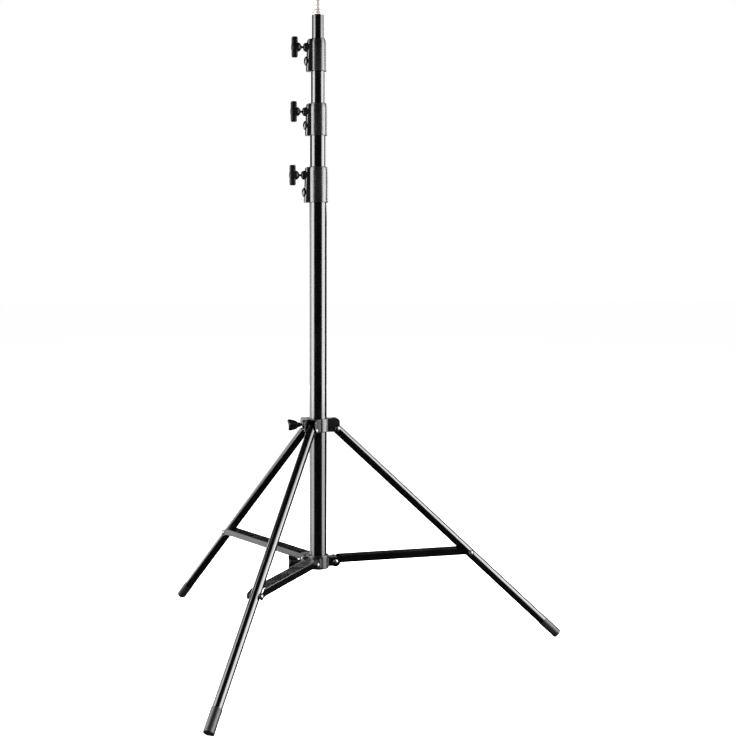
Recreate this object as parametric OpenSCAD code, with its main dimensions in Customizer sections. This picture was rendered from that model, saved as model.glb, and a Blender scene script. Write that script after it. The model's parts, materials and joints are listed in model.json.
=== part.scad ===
// Telescopic tripod lighting stand: a column of four sliding tubes with three
// clamp collars, on three folding tube legs held by sheet metal braces.
// The column's axis is the Z axis, the floor is at z = 0, and leg 1 points along +X.
// All knobs point along -X, between legs 2 and 3.

/* [Column] */
// Outside diameter of the main column tube
column_od = 35; // [34:0.5:36]
// Wall thickness of the main column tube
column_wall = 1.2; // [1:0.1:1.4]
// Height of the lower end of the column above the floor
column_bottom = 170; // [160:1:172]
// Height of the rim of the topmost tube
top_rim_z = 1278.5; // [1255:0.5:1300]

/* [Risers] */
// Outside diameter of the first (lowest and widest) riser
riser_1_od = 32; // [31.5:0.1:32]
// Outside diameter of the second riser
riser_2_od = 28; // [27.5:0.1:28.2]
// Outside diameter of the third riser
riser_3_od = 24; // [23.5:0.1:24.2]
// Wall thickness of the risers
riser_wall = 1.6; // [1.2:0.1:1.7]
// Free length of the cushion spring under each riser
spring_length = 42; // [30:1:60]

/* [Lock collars] */
// Height of the lower edge of the first lock collar
collar_1_z = 910.5; // [900:0.5:920]
// Height of the first lock collar
collar_1_h = 71; // [66:1:80]
// Height of the lower edge of the second lock collar
collar_2_z = 1042.5; // [1035:0.5:1050]
// Height of the lower edge of the third lock collar
collar_3_z = 1168.5; // [1160:0.5:1175]
// Height of the second and third lock collars
collar_small_h = 64; // [62:0.5:70]
// Diameter of the clamping screw of each T-knob
clamp_screw_d = 5; // [4:0.5:8]

/* [Legs] */
// Outside diameter of a leg tube
leg_od = 19; // [18:0.5:19]
// Wall thickness of a leg tube
leg_wall = 1.2; // [1:0.1:2]
// Distance from the column's axis to the middle of a foot's end face
foot_r = 515; // [480:1:540]
// Distance from the column's axis to a leg's upper pivot
leg_pivot_r = 38; // [37:0.5:40]
// Height of a leg's upper pivot
leg_pivot_z = 455.5; // [445:0.5:465]
// Length of the rubber cap on a foot
foot_cap_length = 46; // [20:1:60]

/* [Braces] */
// Distance from the column's axis to a brace's inner pivot
brace_pivot_r = 34; // [33.5:0.5:36]
// Height of a brace's inner pivot
brace_pivot_z = 182.5; // [181:0.5:184]
// Place of the brace pin along the leg, as a share of the leg's length
brace_pin_share = 0.5915; // [0.58:0.0005:0.6]
// Outside width of the channel
brace_width = 28; // [27:0.5:30]
// Thickness of the channel's sheet
brace_sheet = 1.5; // [1:0.1:1.8]
// Height of the channel's web above its pivot line
brace_rise = 11.3; // [11:0.1:12]

/* [Spigot] */
// Diameter of the spigot that a lamp head fits on
spigot_d = 16; // [15:0.5:16]
// Height of the spigot above the bright plug under it
spigot_h = 25.5; // [20:0.5:30]

/* [Hidden] */
$fn = 64;

// Gaps: between pieces that are fixed together, between a shaft and its bearing,
// and between pieces that only pass each other.
seat = 0.02;
running = 0.08;
passing = 0.3;

// Radii of the four tubes, from the column up.
tube_r = [column_od / 2, riser_1_od / 2, riser_2_od / 2, riser_3_od / 2];
tube_in_r = [
  tube_r[0] - column_wall, tube_r[1] - riser_wall, tube_r[2] - riser_wall,
  tube_r[3] - riser_wall
];

// Lock collars: index 1 to 3, from the lowest up (index 0 is not used).
collar_z = [0, collar_1_z, collar_2_z, collar_3_z];
collar_h = [0, collar_1_h, collar_small_h, collar_small_h];
collar_wall = 2.5;
collar_r = [0, tube_r[0] + collar_wall, tube_r[1] + collar_wall, tube_r[2] + collar_wall];
block_reach = [0, 26, 23.5, 21.5];
block_w = 20;
boss_r = 8.5;
boss_l = 8;
knob_below_top = 17;
bolt_above_bottom = 20;
shoe_r = 7.4;
shoulder_below_knob = 9.5;
function knob_z(i) = collar_z[i] + collar_h[i] - knob_below_top;
function shoulder_z(i) = knob_z(i) - shoulder_below_knob;
function bolt_z(i) = collar_z[i] + bolt_above_bottom;

// Stack inside the column: plug, spring, riser foot, spring, riser foot, ...
plug_rim = 3;
plug_top = column_bottom + 20;
foot_flange = 28;
foot_tongue = 14;
spring_gap = 0.3;
stage_rise = foot_tongue + spring_length + spring_gap + foot_flange;
function riser_bottom(i) = plug_top - foot_tongue + i * stage_rise;
tube_top = [shoulder_z(1), shoulder_z(2), shoulder_z(3), top_rim_z];
plug_collar_h = 5;

// Legs.
leg_r = leg_od / 2;
cap_wall = 0.8;
cap_r = leg_r + cap_wall;
cap_floor = 5;
cap_edge = 1;
contact_depth = 0.9;
leg_above_pivot = 8;
// A foot is set so that its lower edge is pressed flat by contact_depth.
foot_tilt = atan2(foot_r - leg_pivot_r, leg_pivot_z);
foot_z = (cap_r - cap_edge) * sin(foot_tilt) - contact_depth;
leg_length = norm([foot_r - leg_pivot_r, leg_pivot_z - foot_z]);
leg_tilt = atan2(foot_r - leg_pivot_r, leg_pivot_z - foot_z);
pin_along = leg_length * brace_pin_share;
pin_r = leg_pivot_r + pin_along * sin(leg_tilt);
pin_z = leg_pivot_z - pin_along * cos(leg_tilt);
brace_length = norm([pin_r - brace_pivot_r, pin_z - brace_pivot_z]);
brace_tilt = atan2(pin_z - brace_pivot_z, pin_r - brace_pivot_r);

// Rivets and the pieces they join.
rivet_r = 3;
rivet_head_r = 5;
rivet_head_h = 2.2;
brace_in_w = brace_width - 2 * brace_sheet;
bend_r = 2.5;
brace_skirt = 2;
ear_r = 10;
outer_ear_r = 6.5;
web_start = 12;
// The web's outer end is notched for the leg tube, from web_stop before the pin.
web_stop = 29;
notch_w = leg_od + 2.4;

// Lower collar and leg yoke.
ring_r = 22;
lower_collar_z = 168.5;
lower_collar_h = 28;
lug_r = 9;
yoke_z = 449.5;
yoke_h = 27;
cheek_w = 2.9;
cheek_reach = 43;
fork_gap = leg_od + 2 * passing;
wing_boss_r = 8;
wing_boss_reach = 33;
wing_screw_r = 3;
wing_shoe_r = 5;
lower_knob_z = brace_pivot_z;
yoke_knob_z = 464;

// ---------------------------------------------------------------- helpers

// A copy turned to leg i (1 to 3).
module at_leg(i) {
  rotate([0, 0, 120 * (i - 1)]) children();
}

// A leg's own frame: origin at the upper pivot, Z along the leg to the foot.
module leg_place(i) {
  at_leg(i) translate([leg_pivot_r, 0, leg_pivot_z]) rotate([0, 180 - leg_tilt, 0]) children();
}

// A brace's own frame: origin at the inner pivot, X along the brace to the leg.
module brace_place(i) {
  at_leg(i) translate([brace_pivot_r, 0, brace_pivot_z]) rotate([0, -brace_tilt, 0]) children();
}

// A knob's own frame: Z points out along -X, from the column's axis at height z.
module knob_place(z) {
  translate([0, 0, z]) rotate([0, -90, 0]) children();
}

module tube(r_out, r_in, low, high) {
  difference() {
    translate([0, 0, low]) cylinder(r = r_out, h = high - low);
    translate([0, 0, low - 1]) cylinder(r = r_in, h = high - low + 2);
  }
}

// A cylinder across Y, centred on it.
module cross_cylinder(r, w) {
  rotate([90, 0, 0]) cylinder(r = r, h = w, center = true);
}

// A domed rivet head, its flat face at z = 0.
module rivet_head() {
  rotate_extrude()
    intersection() {
      translate([0, rivet_head_h - dome_r()]) circle(r = dome_r());
      square([rivet_head_r, rivet_head_h]);
    }
}

// Radius of the sphere whose cap is rivet_head_h high and rivet_head_r wide.
function dome_r() = (pow(rivet_head_r, 2) + pow(rivet_head_h, 2)) / (2 * rivet_head_h);

// A rivet across Y whose heads sit against faces that are w apart.
module cross_rivet(w) {
  cross_cylinder(rivet_r, w + 0.4);
  for (side = [0, 180]) {
    rotate([90, 0, side]) translate([0, 0, w / 2]) rivet_head();
  }
}

// A closed coil of round wire standing on z = 0.
module coil_spring(mean_r, wire_r, length, turns) {
  around = 6;
  per_turn = 14;
  steps = turns * per_turn;
  climb = (length - 2 * wire_r) / steps;
  rings = [
    for (s = [0:steps])
      let (a = s * 360 / per_turn, z = wire_r + s * climb)
        for (k = [0:around - 1])
          let (b = k * 360 / around, r = mean_r + wire_r * cos(b))
            [r * cos(a), r * sin(a), z + wire_r * sin(b)]
  ];
  sides = [
    for (s = [0:steps - 1])
      for (k = [0:around - 1])
        let (m = (k + 1) % around)
          [s * around + k, (s + 1) * around + k, (s + 1) * around + m, s * around + m]
  ];
  ends = [
    [for (k = [0:around - 1]) k],
    [for (k = [0:around - 1]) steps * around + around - 1 - k]
  ];
  polyhedron(points = rings, faces = concat(sides, ends));
}

// ---------------------------------------------------------------- column

module main_tube() {
  color("#141416")
    difference() {
      tube(tube_r[0], tube_in_r[0], column_bottom + plug_rim, tube_top[0] - seat);
      knob_place(bolt_z(1)) cylinder(r = rivet_r + seat, h = ring_r);
    }
}

// Moulded plug that closes the lower end of the column and carries the first spring.
module column_plug() {
  color("#1c1c1c") {
    translate([0, 0, column_bottom]) cylinder(r = tube_r[0] - 0.2, h = plug_rim - seat);
    translate([0, 0, column_bottom + plug_rim - 2 * seat])
      cylinder(r = tube_in_r[0] - seat, h = plug_top - column_bottom - plug_rim);
  }
}

// Guide and plug at the lower end of riser i; the spring of the next riser stands on it.
module riser_foot(i) {
  z = riser_bottom(i);
  color("#e4e0d4")
    difference() {
      union() {
        translate([0, 0, z - foot_flange])
          cylinder(r = tube_in_r[i - 1] - running, h = foot_flange - seat);
        translate([0, 0, z - 1]) cylinder(r = tube_in_r[i] - seat, h = foot_tongue + 1);
      }
      translate([0, 0, z - foot_flange - 1]) cylinder(r = 3, h = foot_flange + foot_tongue + 2);
    }
}

module riser_tube(i) {
  color("#141416")
    difference() {
      tube(tube_r[i], tube_in_r[i], riser_bottom(i), tube_top[i] - seat);
      if (i < 3) knob_place(bolt_z(i + 1)) cylinder(r = rivet_r + seat, h = ring_r);
    }
}

// The spring that cushions riser i when it is let down.
module cushion_spring(i) {
  wire_r = 1.3;
  base = i == 1 ? plug_top : riser_bottom(i - 1) + foot_tongue;
  color("#9a9a9c")
    translate([0, 0, base + seat])
      coil_spring(tube_in_r[i - 1] - wire_r - 1.6, wire_r, spring_length - seat, 5);
}

// ---------------------------------------------------------------- lock collars

// Half section of a collar's turned body, without its bore.
module collar_outline(i) {
  r = collar_r[i];
  h = collar_h[i];
  neck = tube_r[i] + 2.6;
  polygon([
    [0, 0], [r - 1.5, 0], [r, 1.5], [r, h - 13], [r - 0.4, h - 9], [neck + 0.6, h - 1.2],
    [neck - 0.4, h], [0, h]
  ]);
}

// Half section of a collar's bore: the lower tube's seat, then the riser's passage.
module collar_bore(i) {
  step = shoulder_z(i) - collar_z[i];
  translate([0, -1]) square([tube_r[i - 1] + seat, step + 1]);
  square([tube_r[i] + passing, collar_h[i] + 1]);
}

module lock_collar(i) {
  reach = block_reach[i];
  z = knob_z(i);
  color("#1a1a1c")
    difference() {
      union() {
        translate([0, 0, collar_z[i]]) rotate_extrude() collar_outline(i);
        translate([-reach, -block_w / 2, collar_z[i]])
          cube([reach, block_w, collar_h[i] - 2]);
        knob_place(z) cylinder(r = boss_r, h = reach + boss_l - 2);
        knob_place(z) cylinder(r1 = boss_r, r2 = boss_r - 2, h = reach + boss_l);
      }
      translate([0, 0, collar_z[i]]) rotate_extrude() collar_bore(i);
      knob_place(z) cylinder(r = shoe_r + seat, h = shoe_end(i));
      knob_place(z) cylinder(r = clamp_screw_d / 2 + running, h = reach + boss_l + 1);
      knob_place(bolt_z(i)) cylinder(r = rivet_r + seat, h = reach + 1);
    }
}

// Distance from the axis to the outer end of a clamp shoe's pocket.
function shoe_end(i) = tube_r[i] + 4;

// Pad that the T-knob's screw presses on the riser.
module clamp_shoe(i) {
  color("#b08d4a")
    difference() {
      knob_place(knob_z(i)) cylinder(r = shoe_r, h = shoe_end(i) - seat);
      translate([0, 0, knob_z(i) - 2 * shoe_r])
        cylinder(r = tube_r[i] + passing, h = 4 * shoe_r);
      translate([0, -shoe_r - 1, knob_z(i) - 2 * shoe_r])
        cube([3 * shoe_r, 4 * shoe_r, 4 * shoe_r]);
    }
}

// Domed bolt that fastens a collar to the tube in it.
module collar_bolt(i) {
  reach = block_reach[i];
  head_r = 9;
  head_h = 5.5;
  dome = (head_r * head_r + head_h * head_h) / (2 * head_h);
  color("#1a1a1c")
    knob_place(bolt_z(i)) {
      translate([0, 0, tube_in_r[i - 1] + 0.1])
        cylinder(r = rivet_r, h = reach - tube_in_r[i - 1] + 0.5);
      translate([0, 0, reach + seat])
        rotate_extrude()
          intersection() {
            translate([0, head_h - dome]) circle(r = dome);
            square([head_r, head_h]);
          }
    }
}

// ---------------------------------------------------------------- knobs

knob_gap = 4;
knob_bar_t = 13;
knob_bar_l = 39;
knob_bar_w = 14;

// Distance from the axis to the inner end of T-knob i.
function t_knob_start(i) = block_reach[i] + boss_l + knob_gap;

module t_knob(i) {
  start = t_knob_start(i);
  hub_l = 7.5;
  color("#0e0e0e")
    knob_place(knob_z(i))
      difference() {
        union() {
          translate([0, 0, start]) cylinder(r1 = 4.5, r2 = 8.5, h = hub_l);
          translate([0, 0, start + hub_l - seat]) cylinder(r = 8.5, h = knob_bar_t);
          translate([-knob_bar_l / 2 + knob_bar_w / 2, -knob_bar_w / 2, start + hub_l])
            cube([knob_bar_l - knob_bar_w, knob_bar_w, knob_bar_t - 1]);
          for (side = [-1, 1]) {
            translate([side * (knob_bar_l - knob_bar_w) / 2, 0, start + hub_l])
              cylinder(r = knob_bar_w / 2, h = knob_bar_t - 1);
          }
        }
        translate([0, 0, start - 1]) cylinder(r = clamp_screw_d / 2 + seat, h = 13);
      }
}

module t_screw(i) {
  color("#8c8c8e")
    knob_place(knob_z(i))
      translate([0, 0, shoe_end(i) + 0.1])
        cylinder(r = clamp_screw_d / 2, h = t_knob_start(i) + 11.8 - shoe_end(i));
}

wing_start = 41;
wing_l = 21;

// Wing knob: a round hub with two flat wings that widen outwards.
module wing_knob(z, turn) {
  color("#0e0e0e")
    knob_place(z)
      rotate([0, 0, turn])
        difference() {
          union() {
            translate([0, 0, wing_start]) cylinder(r1 = 5, r2 = 6.5, h = wing_l - 4);
            translate([0, 3, wing_start])
              rotate([90, 0, 0])
                linear_extrude(6)
                  polygon([
                    [6, 1], [13.5, wing_l - 6], [14, wing_l - 1.5], [12, wing_l],
                    [6, wing_l - 1], [-6, wing_l - 1], [-12, wing_l], [-14, wing_l - 1.5],
                    [-13.5, wing_l - 6], [-6, 1]
                  ]);
          }
          translate([0, 0, wing_start - 1]) cylinder(r = wing_screw_r + seat, h = 13);
        }
}

// Screw of a wing knob, from the shoe's outer face into the knob.
module wing_screw(z, shoe_face) {
  color("#8c8c8e")
    knob_place(z)
      translate([0, 0, shoe_face + 0.1])
        cylinder(r = wing_screw_r, h = wing_start + 11.8 - shoe_face);
}

// Pad that a wing screw presses on the column.
module wing_shoe(z, inner) {
  color("#b08d4a")
    difference() {
      knob_place(z) cylinder(r = wing_shoe_r, h = wing_shoe_face - seat);
      translate([0, 0, z - 3 * wing_shoe_r]) cylinder(r = inner, h = 6 * wing_shoe_r);
      translate([0, -2 * wing_shoe_r, z - 2 * wing_shoe_r]) cube(4 * wing_shoe_r);
    }
}

wing_shoe_face = tube_r[0] + 3.5;

// ---------------------------------------------------------------- leg frame

// Boss with the wing screw's hole and the shoe's pocket, cut by wing_boss_holes.
module wing_boss(z) {
  knob_place(z) cylinder(r = wing_boss_r, h = wing_boss_reach - 2);
  knob_place(z) cylinder(r1 = wing_boss_r, r2 = wing_boss_r - 2, h = wing_boss_reach);
}

module wing_boss_holes(z) {
  knob_place(z) cylinder(r = wing_shoe_r + seat, h = wing_shoe_face);
  knob_place(z) cylinder(r = wing_screw_r + running, h = wing_boss_reach + 1);
}

// Cast ring at the foot of the column; each brace straddles one of its lugs.
module lower_collar() {
  lug_w = brace_in_w - 2 * passing;
  color("#1a1a1c")
    difference() {
      union() {
        translate([0, 0, lower_collar_z]) cylinder(r = ring_r, h = lower_collar_h);
        for (i = [1:3]) {
          at_leg(i) {
            translate([0, -lug_w / 2, brace_pivot_z - lug_r])
              cube([brace_pivot_r, lug_w, 2 * lug_r]);
            translate([brace_pivot_r, 0, brace_pivot_z]) cross_cylinder(lug_r, lug_w);
          }
        }
        wing_boss(lower_knob_z);
      }
      translate([0, 0, lower_collar_z - 1])
        cylinder(r = tube_r[0] + seat, h = lower_collar_h + 2);
      for (i = [1:3]) {
        at_leg(i)
          translate([brace_pivot_r, 0, brace_pivot_z]) cross_cylinder(rivet_r + seat, 2 * lug_w);
      }
      wing_boss_holes(lower_knob_z);
    }
}

module brace_inner_rivets() {
  color("#c8c8ca")
    for (i = [1:3]) {
      at_leg(i)
        translate([brace_pivot_r, 0, brace_pivot_z]) cross_rivet(brace_width + 2 * running);
    }
}

// Cast ring that slides on the column; each leg's top sits between two cheeks.
module leg_yoke() {
  fork_w = fork_gap + 2 * cheek_w;
  color("#1a1a1c")
    difference() {
      union() {
        translate([0, 0, yoke_z]) cylinder(r = ring_r, h = yoke_h);
        for (i = [1:3]) {
          at_leg(i)
            translate([0, -fork_w / 2, yoke_z]) cube([cheek_reach, fork_w, yoke_h]);
        }
        wing_boss(yoke_knob_z);
      }
      translate([0, 0, yoke_z - 1]) cylinder(r = tube_r[0] + passing, h = yoke_h + 2);
      for (i = [1:3]) {
        at_leg(i) {
          translate([ring_r, -fork_gap / 2, yoke_z - 1]) cube([ring_r + 1, fork_gap, yoke_h + 2]);
          translate([leg_pivot_r, 0, leg_pivot_z]) cross_cylinder(rivet_r + seat, 2 * fork_w);
        }
      }
      wing_boss_holes(yoke_knob_z);
    }
}

// Short rivets that end at the inner faces of the cheeks, two for each leg.
module yoke_rivets() {
  color("#c8c8ca")
    for (i = [1:3], side = [0, 180]) {
      at_leg(i)
        translate([leg_pivot_r, 0, leg_pivot_z])
          rotate([90, 0, side]) {
            translate([0, 0, fork_gap / 2]) cylinder(r = rivet_r, h = cheek_w + 0.5);
            translate([0, 0, fork_gap / 2 + cheek_w + seat]) rivet_head();
          }
    }
}

// Section of a brace, across it: a channel open downwards with rounded bends.
module channel_section(half_w, top, bend, bottom) {
  square_w = half_w - bend;
  translate([-half_w, -bottom]) square([2 * half_w, top - bend + bottom]);
  translate([-square_w, -bottom]) square([2 * square_w, top + bottom]);
  for (side = [-1, 1]) {
    translate([side * square_w, top - bend]) circle(r = bend);
  }
}

// Side view of a brace, along it: a strip with a round ear at each end.
module brace_side() {
  taper = 14;
  circle(r = ear_r);
  polygon([
    [6, -brace_skirt], [brace_length - taper, -brace_skirt],
    [brace_length - 2, 1 - outer_ear_r], [brace_length - 2, outer_ear_r - 0.6],
    [brace_length - taper, brace_rise], [6, brace_rise]
  ]);
  translate([brace_length, 0]) circle(r = outer_ear_r);
}

module brace(i) {
  depth = ear_r + 2;
  half_w = brace_width / 2;
  half_in = brace_in_w / 2;
  color("#161618")
    brace_place(i)
      difference() {
        intersection() {
          translate([0, half_w, 0]) rotate([90, 0, 0]) linear_extrude(brace_width) brace_side();
          translate([-ear_r - 1, 0, 0])
            rotate([90, 0, 90])
              linear_extrude(brace_length + 2 * ear_r + 2)
                difference() {
                  channel_section(half_w, brace_rise, bend_r, depth);
                  channel_section(
                    half_in, brace_rise - brace_sheet, bend_r - brace_sheet, depth + 1
                  );
                }
        }
        translate([-2 * ear_r, -half_in, -depth])
          cube([2 * ear_r + web_start, brace_in_w, 3 * depth]);
        translate([brace_length - web_stop, -notch_w / 2, -depth])
          cube([web_stop + 2 * ear_r, notch_w, 3 * depth]);
        translate([brace_length - ear_r, -half_in, -depth])
          cube([2 * ear_r, brace_in_w, 3 * depth]);
        cross_cylinder(rivet_r + running, 2 * brace_width);
        translate([brace_length, 0, 0]) cross_cylinder(rivet_r + running, 2 * brace_width);
      }
}

// ---------------------------------------------------------------- legs

module leg_tube(i) {
  color("#141416")
    leg_place(i)
      difference() {
        tube(leg_r, leg_r - leg_wall, -leg_above_pivot, leg_length - cap_floor - seat);
        translate([0, 0, pin_along]) cross_cylinder(rivet_r + seat, 2 * leg_od);
      }
}

// Moulded plug in the upper end of a leg.
module leg_plug(i) {
  color("#1c1c1c")
    leg_place(i) {
      translate([0, 0, -leg_above_pivot - 1.5]) cylinder(r1 = leg_r - 2.5, r2 = leg_r - 1, h = 1.5);
      translate([0, 0, -leg_above_pivot - seat]) cylinder(r = leg_r - leg_wall - seat, h = 20);
    }
}

// Rubber cap on a foot; its lower edge is pressed flat on the floor.
module foot_cap(i) {
  span = 2 * foot_r;
  color("#0c0c0c")
    difference() {
      leg_place(i)
        translate([0, 0, leg_length - foot_cap_length])
          rotate_extrude()
            difference() {
              polygon([
                [0, 0], [cap_r - 0.4, 0], [cap_r, 0.4], [cap_r, foot_cap_length - cap_edge],
                [cap_r - cap_edge, foot_cap_length], [0, foot_cap_length]
              ]);
              translate([0, -1]) square([leg_r + seat, foot_cap_length - cap_floor + 1]);
            }
      translate([-span, -span, -50]) cube([2 * span, 2 * span, 50]);
    }
}

module brace_rivet(i) {
  color("#c8c8ca")
    leg_place(i) translate([0, 0, pin_along]) cross_rivet(brace_width + 2 * running);
}

// Two spacers that keep the leg in the middle of its brace.
module brace_spacers(i) {
  inner = 8;
  outer = brace_in_w / 2 - running;
  color("#1c1c1c")
    leg_place(i)
      for (side = [0, 180]) {
        difference() {
          translate([0, 0, pin_along])
            rotate([90, 0, side]) translate([0, 0, inner]) cylinder(r = 5, h = outer - inner);
          cylinder(r = leg_r + seat, h = leg_length);
          translate([0, 0, pin_along]) cross_cylinder(rivet_r + seat, 2 * brace_width);
        }
      }
}

// ---------------------------------------------------------------- top

// Bright turned plug in the top tube; its rim closes the tube.
module spigot_plug() {
  color("#c4c4c6")
    difference() {
      translate([0, 0, top_rim_z])
        union() {
          cylinder(r = tube_r[3] - 0.5, h = plug_collar_h - 1);
          cylinder(r = tube_r[3] - 1.5, h = plug_collar_h);
          translate([0, 0, -30]) cylinder(r = tube_in_r[3] - seat, h = 31);
        }
      translate([0, 0, top_rim_z - 20]) cylinder(r = 5 + seat, h = 30);
    }
}

// Spigot with a waist for a clamp screw, and a shank down into the plug.
module spigot() {
  r = spigot_d / 2;
  waist_r = 6.5;
  color("#d6d6d8")
    translate([0, 0, top_rim_z + plug_collar_h + seat])
      union() {
        translate([0, 0, -20]) cylinder(r = 5, h = 21);
        rotate_extrude()
          polygon([
            [0, 0], [r, 0], [r, 4], [waist_r, 6], [waist_r, 10], [r, 12],
            [r, spigot_h - 1.5], [r - 1.5, spigot_h], [0, spigot_h]
          ]);
      }
}

// ---------------------------------------------------------------- nodes

main_tube();
column_plug();
lower_collar();
brace_inner_rivets();
wing_shoe(lower_knob_z, tube_r[0] + seat);  // lower_shoe
wing_knob(lower_knob_z, 0);  // lower_wing_knob
wing_screw(lower_knob_z, wing_shoe_face);  // lower_wing_screw
leg_yoke();
wing_shoe(yoke_knob_z, tube_r[0] + passing);  // yoke_shoe
yoke_rivets();
wing_knob(yoke_knob_z, 50);  // yoke_wing_knob
wing_screw(yoke_knob_z, wing_shoe_face);  // yoke_wing_screw
cushion_spring(1);  // cushion_spring_1
cushion_spring(2);  // cushion_spring_2
cushion_spring(3);  // cushion_spring_3
lock_collar(1);  // lock_collar_1
lock_collar(2);  // lock_collar_2
lock_collar(3);  // lock_collar_3
clamp_shoe(1);  // clamp_shoe_1
clamp_shoe(2);  // clamp_shoe_2
clamp_shoe(3);  // clamp_shoe_3
collar_bolt(1);  // collar_bolt_1
collar_bolt(2);  // collar_bolt_2
collar_bolt(3);  // collar_bolt_3
t_knob(1);  // t_knob_1
t_knob(2);  // t_knob_2
t_knob(3);  // t_knob_3
t_screw(1);  // t_screw_1
t_screw(2);  // t_screw_2
t_screw(3);  // t_screw_3
riser_tube(1);  // riser_tube_1
riser_tube(2);  // riser_tube_2
riser_tube(3);  // riser_tube_3
riser_foot(1);  // riser_foot_1
riser_foot(2);  // riser_foot_2
riser_foot(3);  // riser_foot_3
brace(1);  // brace_1
brace(2);  // brace_2
brace(3);  // brace_3
leg_tube(1);  // leg_tube_1
leg_tube(2);  // leg_tube_2
leg_tube(3);  // leg_tube_3
leg_plug(1);  // leg_plug_1
leg_plug(2);  // leg_plug_2
leg_plug(3);  // leg_plug_3
foot_cap(1);  // foot_cap_1
foot_cap(2);  // foot_cap_2
foot_cap(3);  // foot_cap_3
brace_rivet(1);  // brace_rivet_1
brace_rivet(2);  // brace_rivet_2
brace_rivet(3);  // brace_rivet_3
brace_spacers(1);  // brace_spacers_1
brace_spacers(2);  // brace_spacers_2
brace_spacers(3);  // brace_spacers_3
spigot_plug();
spigot();
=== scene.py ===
"""A telescopic tripod lighting stand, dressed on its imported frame. All lengths are in metres."""

import json
import math

import bpy
import numpy as np
from mathutils import Matrix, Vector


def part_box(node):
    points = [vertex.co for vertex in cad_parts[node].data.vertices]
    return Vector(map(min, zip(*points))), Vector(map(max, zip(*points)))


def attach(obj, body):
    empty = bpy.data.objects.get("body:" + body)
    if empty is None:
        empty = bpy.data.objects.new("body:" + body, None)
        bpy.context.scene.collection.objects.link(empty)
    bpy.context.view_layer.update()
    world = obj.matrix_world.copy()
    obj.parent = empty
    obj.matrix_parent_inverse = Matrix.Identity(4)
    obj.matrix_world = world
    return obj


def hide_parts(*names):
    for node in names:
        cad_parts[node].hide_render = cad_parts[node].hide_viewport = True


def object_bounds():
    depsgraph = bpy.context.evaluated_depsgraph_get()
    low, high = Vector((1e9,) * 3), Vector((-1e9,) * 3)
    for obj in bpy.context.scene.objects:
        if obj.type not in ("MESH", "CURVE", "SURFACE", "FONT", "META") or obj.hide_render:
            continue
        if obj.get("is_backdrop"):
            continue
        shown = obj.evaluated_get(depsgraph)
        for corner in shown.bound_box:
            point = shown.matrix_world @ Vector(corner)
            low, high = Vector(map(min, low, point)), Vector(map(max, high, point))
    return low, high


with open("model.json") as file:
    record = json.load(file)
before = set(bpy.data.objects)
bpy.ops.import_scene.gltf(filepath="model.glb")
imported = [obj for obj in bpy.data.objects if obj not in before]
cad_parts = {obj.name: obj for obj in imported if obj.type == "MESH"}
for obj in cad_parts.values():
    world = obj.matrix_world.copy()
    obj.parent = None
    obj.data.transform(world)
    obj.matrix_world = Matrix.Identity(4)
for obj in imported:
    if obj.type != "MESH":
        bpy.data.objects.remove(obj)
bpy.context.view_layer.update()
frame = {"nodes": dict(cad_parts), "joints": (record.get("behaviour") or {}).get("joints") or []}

MM = 0.001
TAU = 2 * math.pi
JOINTS = {joint["name"]: joint for joint in frame["joints"]}
KNOB_OUT = (-1.0, 0.0, 0.0)
ACROSS = (0.0, 1.0, 0.0)
UP = (0.0, 0.0, 1.0)
# Faces that meet at more than this are shaded as a sharp edge.
CREASE = math.radians(38)


# ------------------------------------------------------------------ surfaces
#
# A shape is (points, quads, triangles), closed and facing outwards.


def outward(points, quads, triangles):
    """The same faces, turned round if the volume that they close comes out negative."""
    volume = 0.0
    for corners in (quads[:, [0, 1, 2]], quads[:, [0, 2, 3]], triangles):
        a, b, c = (points[corners[:, k]] for k in range(3))
        volume += np.einsum("ij,ij->", a, np.cross(b, c))
    if volume < 0:
        return points, quads[:, ::-1], triangles[:, ::-1]
    return points, quads, triangles


def skin(grid, ring=False):
    """Faces over a grid of points (rows, columns, xyz) whose columns run once round.

    ring joins the last row to the first. Otherwise each end row closes to its middle point.
    """
    rows, columns = grid.shape[:2]
    here = np.arange(rows * columns).reshape(rows, columns)
    beside = np.roll(here, -1, axis=1)
    above = np.roll(here, -1, axis=0)
    above_beside = np.roll(beside, -1, axis=0)
    quads = np.stack([here, beside, above_beside, above], axis=-1)
    points = grid.reshape(-1, 3)
    if ring:
        return outward(points, quads.reshape(-1, 4), np.zeros((0, 3), int))
    points = np.vstack([points, grid[0].mean(axis=0), grid[-1].mean(axis=0)])
    first = np.full(columns, rows * columns)
    low_fan = np.stack([beside[0], here[0], first], axis=-1)
    high_fan = np.stack([here[-1], beside[-1], first + 1], axis=-1)
    return outward(points, quads[:-1].reshape(-1, 4), np.vstack([low_fan, high_fan]))


def fillet(corners, radius, closed=False, steps=4):
    """A line through corners with each one rounded by a parabola that starts radius before it.

    radius is one length or one for each corner. A point a little further out on each side keeps
    the flat stretch flat in its shading. An open line keeps its two end points.
    """
    corners = np.asarray(corners, float)
    radius = np.broadcast_to(np.asarray(radius, float), len(corners))
    back = np.roll(corners, 1, axis=0) - corners
    ahead = np.roll(corners, -1, axis=0) - corners
    back_length = np.linalg.norm(back, axis=1)
    ahead_length = np.linalg.norm(ahead, axis=1)
    cut = np.minimum(radius, 0.4 * np.minimum(back_length, ahead_length))
    start = corners + back * (cut / back_length)[:, None]
    end = corners + ahead * (cut / ahead_length)[:, None]
    t = np.linspace(0, 1, steps + 1)[None, :, None]
    bend = (1 - t) ** 2 * start[:, None] + 2 * t * (1 - t) * corners[:, None] + t**2 * end[:, None]
    early = corners + back * (1.2 * cut / back_length)[:, None]
    late = corners + ahead * (1.2 * cut / ahead_length)[:, None]
    rounded = np.concatenate([early[:, None], bend, late[:, None]], axis=1)
    if closed:
        return rounded.reshape(-1, 2)
    return np.vstack([corners[:1], rounded[1:-1].reshape(-1, 2), corners[-1:]])


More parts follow.
